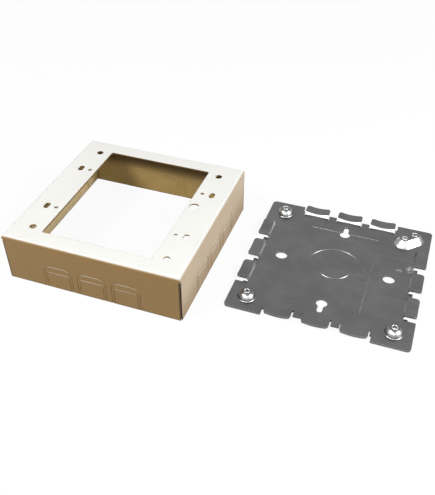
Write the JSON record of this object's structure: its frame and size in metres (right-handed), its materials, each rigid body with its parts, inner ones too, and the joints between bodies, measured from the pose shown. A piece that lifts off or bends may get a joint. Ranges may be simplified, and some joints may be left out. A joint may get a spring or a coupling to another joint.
{
  "type": "surface wiring box with base plate",
  "caption": "Square folded-sheet surface wiring box cover with a device opening and raceway twist-outs, lying beside its pressed steel base plate with tongues, bosses and knockouts.",
  "frame": {"origin": "centre of the base plate's rear face, on the wall", "axes": "+Z out of the wall towards the front face, +X from the cover as it lies to the base plate, +Y along the row of gangs"},
  "size_m": [0.2513, 0.1344, 0.034],
  "materials": {
    "cream_paint": "satin cream paint",
    "zinc_steel": "bright zinc coat"
  },
  "bodies": {
    "base": {"base_plate": "zinc_steel"},
    "knockout_panel": {"base_knockout_panel": "zinc_steel"},
    "knockout_ring": {"base_knockout_ring": "zinc_steel"},
    "knockout_disc": {"base_knockout_disc": "zinc_steel"},
    "cover": {"cover_shell": "cream_paint"},
    "twistout_front_1_arch": {"twistout_front_1_arch": "cream_paint"},
    "twistout_front_1_blank": {"twistout_front_1_blank": "cream_paint"},
    "twistout_front_2_arch": {"twistout_front_2_arch": "cream_paint"},
    "twistout_front_2_blank": {"twistout_front_2_blank": "cream_paint"},
    "twistout_front_3_arch": {"twistout_front_3_arch": "cream_paint"},
    "twistout_front_3_blank": {"twistout_front_3_blank": "cream_paint"},
    "twistout_right_1_arch": {"twistout_right_1_arch": "cream_paint"},
    "twistout_right_1_blank": {"twistout_right_1_blank": "cream_paint"},
    "twistout_right_2_arch": {"twistout_right_2_arch": "cream_paint"},
    "twistout_right_2_blank": {"twistout_right_2_blank": "cream_paint"},
    "twistout_right_3_arch": {"twistout_right_3_arch": "cream_paint"},
    "twistout_right_3_blank": {"twistout_right_3_blank": "cream_paint"},
    "twistout_back_1_arch": {"twistout_back_1_arch": "cream_paint"},
    "twistout_back_1_blank": {"twistout_back_1_blank": "cream_paint"},
    "twistout_back_2_arch": {"twistout_back_2_arch": "cream_paint"},
    "twistout_back_2_blank": {"twistout_back_2_blank": "cream_paint"},
    "twistout_back_3_arch": {"twistout_back_3_arch": "cream_paint"},
    "twistout_back_3_blank": {"twistout_back_3_blank": "cream_paint"},
    "twistout_left_1_arch": {"twistout_left_1_arch": "cream_paint"},
    "twistout_left_1_blank": {"twistout_left_1_blank": "cream_paint"},
    "twistout_left_2_arch": {"twistout_left_2_arch": "cream_paint"},
    "twistout_left_2_blank": {"twistout_left_2_blank": "cream_paint"},
    "twistout_left_3_arch": {"twistout_left_3_arch": "cream_paint"},
    "twistout_left_3_blank": {"twistout_left_3_blank": "cream_paint"}
  },
  "joints": [
    {"name": "cover_lift_over", "type": "slide", "parent": "base", "child": "cover", "axis": [0.9021, 0.1209, 0.4143], "range_m": [0, 0.14966]},
    {"name": "panel_bend", "type": "hinge", "parent": "base", "child": "knockout_panel", "pos_m": [-0.023, 0, 0.0014], "axis": [0, -1, 0], "range_deg": [0, 90]},
    {"name": "ring_bend", "type": "hinge", "parent": "knockout_panel", "child": "knockout_ring", "pos_m": [0.01745, 0, 0.00105], "axis": [0, 1, 0], "range_deg": [0, 90]},
    {"name": "disc_bend", "type": "hinge", "parent": "knockout_ring", "child": "knockout_disc", "pos_m": [-0.0111, 0, 0.0014], "axis": [0, -1, 0], "range_deg": [0, 90]},
    {"name": "twistout_front_1_arch_bend", "type": "hinge", "parent": "cover", "child": "twistout_front_1_arch", "pos_m": [-0.1582, -0.0776, 0.017], "axis": [-1, 0, 0], "range_deg": [0, 90]},
    {"name": "twistout_front_1_blank_bend", "type": "hinge", "parent": "twistout_front_1_arch", "child": "twistout_front_1_blank", "pos_m": [-0.1582, -0.0776, 0.0124], "axis": [-1, 0, 0], "range_deg": [0, 90]},
    {"name": "twistout_front_2_arch_bend", "type": "hinge", "parent": "cover", "child": "twistout_front_2_arch", "pos_m": [-0.135, -0.0776, 0.017], "axis": [-1, 0, 0], "range_deg": [0, 90]},
    {"name": "twistout_front_2_blank_bend", "type": "hinge", "parent": "twistout_front_2_arch", "child": "twistout_front_2_blank", "pos_m": [-0.135, -0.0776, 0.0124], "axis": [-1, 0, 0], "range_deg": [0, 90]},
    {"name": "twistout_front_3_arch_bend", "type": "hinge", "parent": "cover", "child": "twistout_front_3_arch", "pos_m": [-0.1118, -0.0776, 0.017], "axis": [-1, 0, 0], "range_deg": [0, 90]},
    {"name": "twistout_front_3_blank_bend", "type": "hinge", "parent": "twistout_front_3_arch", "child": "twistout_front_3_blank", "pos_m": [-0.1118, -0.0776, 0.0124], "axis": [-1, 0, 0], "range_deg": [0, 90]},
    {"name": "twistout_right_1_arch_bend", "type": "hinge", "parent": "cover", "child": "twistout_right_1_arch", "pos_m": [-0.0755, -0.0413, 0.017], "axis": [0, -1, 0], "range_deg": [0, 90]},
    {"name": "twistout_right_1_blank_bend", "type": "hinge", "parent": "twistout_right_1_arch", "child": "twistout_right_1_blank", "pos_m": [-0.0755, -0.0413, 0.0124], "axis": [0, -1, 0], "range_deg": [0, 90]},
    {"name": "twistout_right_2_arch_bend", "type": "hinge", "parent": "cover", "child": "twistout_right_2_arch", "pos_m": [-0.0755, -0.0181, 0.017], "axis": [0, -1, 0], "range_deg": [0, 90]},
    {"name": "twistout_right_2_blank_bend", "type": "hinge", "parent": "twistout_right_2_arch", "child": "twistout_right_2_blank", "pos_m": [-0.0755, -0.0181, 0.0124], "axis": [0, -1, 0], "range_deg": [0, 90]},
    {"name": "twistout_right_3_arch_bend", "type": "hinge", "parent": "cover", "child": "twistout_right_3_arch", "pos_m": [-0.0755, 0.0051, 0.017], "axis": [0, -1, 0], "range_deg": [0, 90]},
    {"name": "twistout_right_3_blank_bend", "type": "hinge", "parent": "twistout_right_3_arch", "child": "twistout_right_3_blank", "pos_m": [-0.0755, 0.0051, 0.0124], "axis": [0, -1, 0], "range_deg": [0, 90]},
    {"name": "twistout_back_1_arch_bend", "type": "hinge", "parent": "cover", "child": "twistout_back_1_arch", "pos_m": [-0.1118, 0.0414, 0.017], "axis": [1, 0, 0], "range_deg": [0, 90]},
    {"name": "twistout_back_1_blank_bend", "type": "hinge", "parent": "twistout_back_1_arch", "child": "twistout_back_1_blank", "pos_m": [-0.1118, 0.0414, 0.0124], "axis": [1, 0, 0], "range_deg": [0, 90]},
    {"name": "twistout_back_2_arch_bend", "type": "hinge", "parent": "cover", "child": "twistout_back_2_arch", "pos_m": [-0.135, 0.0414, 0.017], "axis": [1, 0, 0], "range_deg": [0, 90]},
    {"name": "twistout_back_2_blank_bend", "type": "hinge", "parent": "twistout_back_2_arch", "child": "twistout_back_2_blank", "pos_m": [-0.135, 0.0414, 0.0124], "axis": [1, 0, 0], "range_deg": [0, 90]},
    {"name": "twistout_back_3_arch_bend", "type": "hinge", "parent": "cover", "child": "twistout_back_3_arch", "pos_m": [-0.1582, 0.0414, 0.017], "axis": [1, 0, 0], "range_deg": [0, 90]},
    {"name": "twistout_back_3_blank_bend", "type": "hinge", "parent": "twistout_back_3_arch", "child": "twistout_back_3_blank", "pos_m": [-0.1582, 0.0414, 0.0124], "axis": [1, 0, 0], "range_deg": [0, 90]},
    {"name": "twistout_left_1_arch_bend", "type": "hinge", "parent": "cover", "child": "twistout_left_1_arch", "pos_m": [-0.1945, 0.0051, 0.017], "axis": [0, 1, 0], "range_deg": [0, 90]},
    {"name": "twistout_left_1_blank_bend", "type": "hinge", "parent": "twistout_left_1_arch", "child": "twistout_left_1_blank", "pos_m": [-0.1945, 0.0051, 0.0124], "axis": [0, 1, 0], "range_deg": [0, 90]},
    {"name": "twistout_left_2_arch_bend", "type": "hinge", "parent": "cover", "child": "twistout_left_2_arch", "pos_m": [-0.1945, -0.0181, 0.017], "axis": [0, 1, 0], "range_deg": [0, 90]},
    {"name": "twistout_left_2_blank_bend", "type": "hinge", "parent": "twistout_left_2_arch", "child": "twistout_left_2_blank", "pos_m": [-0.1945, -0.0181, 0.0124], "axis": [0, 1, 0], "range_deg": [0, 90]},
    {"name": "twistout_left_3_arch_bend", "type": "hinge", "parent": "cover", "child": "twistout_left_3_arch", "pos_m": [-0.1945, -0.0413, 0.017], "axis": [0, 1, 0], "range_deg": [0, 90]},
    {"name": "twistout_left_3_blank_bend", "type": "hinge", "parent": "twistout_left_3_arch", "child": "twistout_left_3_blank", "pos_m": [-0.1945, -0.0413, 0.0124], "axis": [0, 1, 0], "range_deg": [0, 90]}
  ]
}
